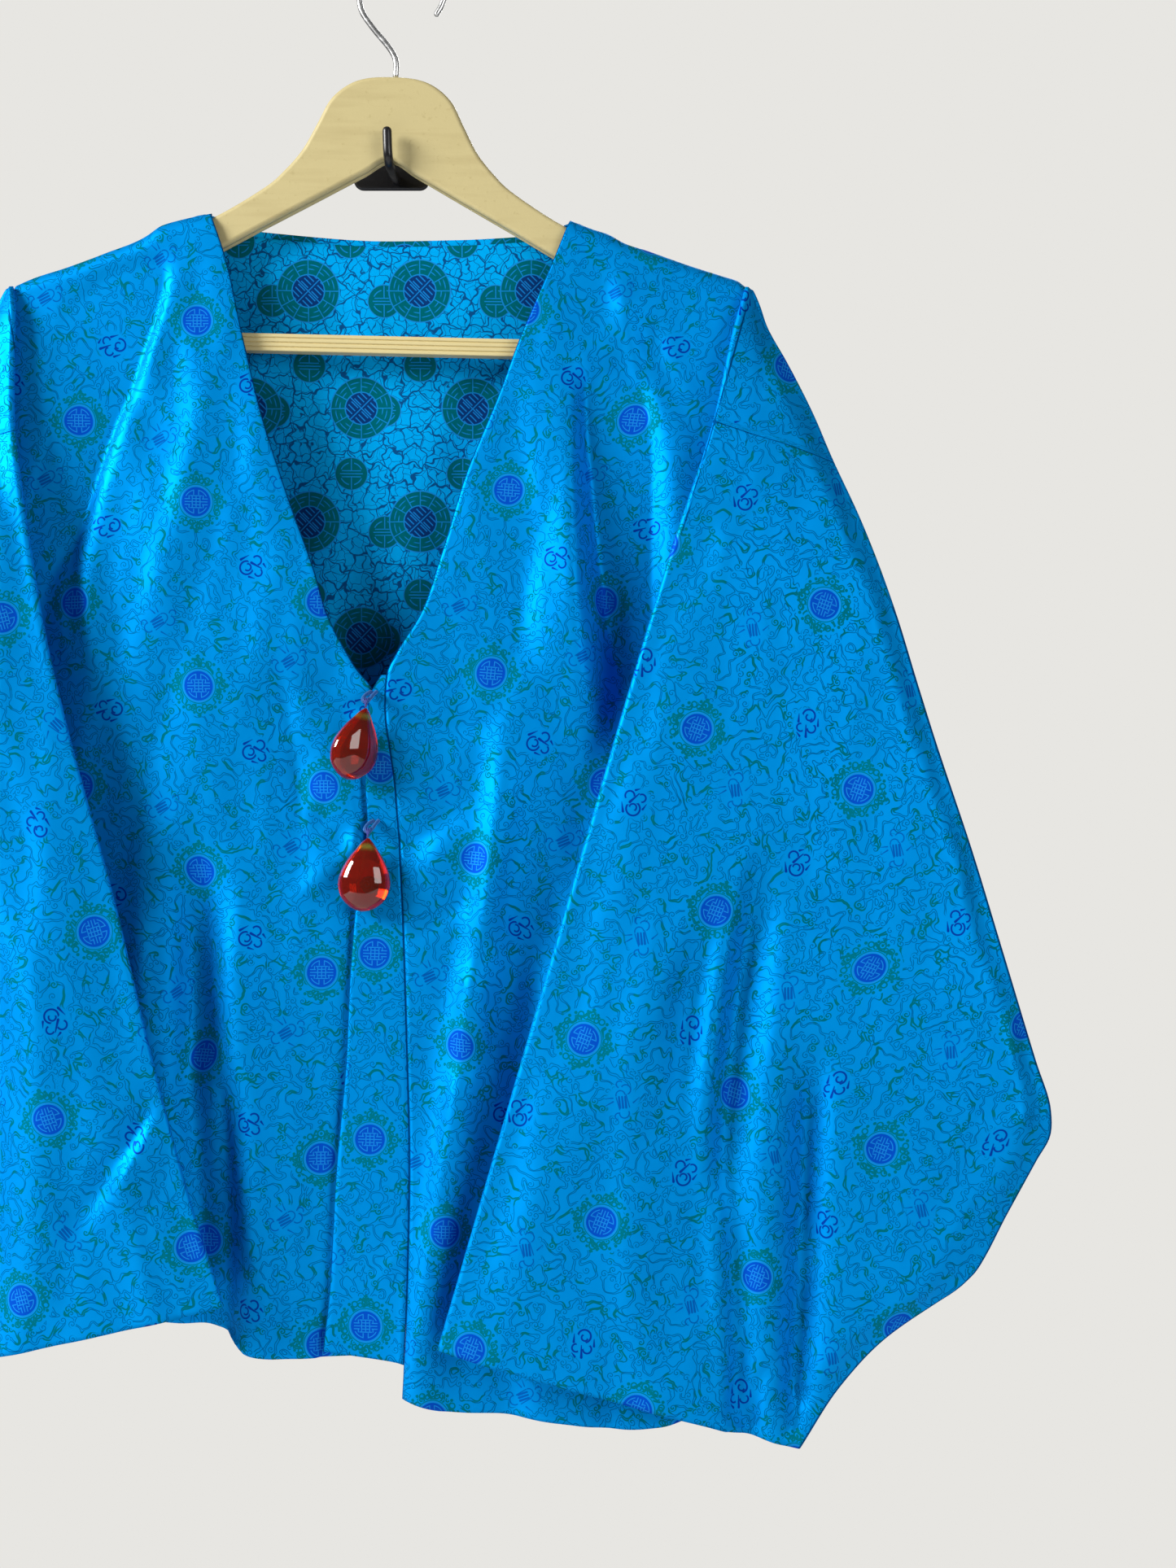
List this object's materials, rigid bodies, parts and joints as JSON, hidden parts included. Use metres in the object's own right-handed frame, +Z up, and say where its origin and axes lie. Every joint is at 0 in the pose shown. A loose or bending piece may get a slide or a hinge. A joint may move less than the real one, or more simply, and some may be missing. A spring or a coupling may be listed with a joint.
{
  "type": "magoja jacket on a hanger and wall hook",
  "caption": "Lined brocade magoja jacket with a V neck, wide curved sleeves folded over the front and amber drop buttons, on a flat hanger that rests on a wall hook.",
  "frame": {"origin": "centre of the back face of the wall hook's plate", "axes": "+Z up, +Y into the wall, so the garment's front faces -Y; the wearer's left is at +X"},
  "size_m": [0.7683, 0.0968, 0.8299],
  "materials": {
    "brocade": "satin brocade with fine scrolls",
    "lining": "figured satin",
    "hanger": "cream, slightly flecked",
    "wire": "zinc plated",
    "hook": "black coating",
    "amber": "clear amber resin",
    "thread": "wound thread"
  },
  "bodies": {
    "root": {"back": "brocade", "back_lining": "lining", "back_top": "brocade", "back_upper": "brocade", "button_loop_lower": "brocade", "button_loop_upper": "brocade", "button_lower": "amber", "button_thread_lower": "thread", "button_thread_upper": "thread", "button_upper": "amber", "front_left": "brocade", "front_right": "brocade", "hanger": "hanger", "hanger_bar": "hanger", "placket": "brocade", "shoulder_end_left": "brocade", "shoulder_end_right": "brocade", "sleeve_left": "brocade", "sleeve_right": "brocade", "wall_hook": "hook", "wire_hook": "wire"}
  },
  "joints": []
}
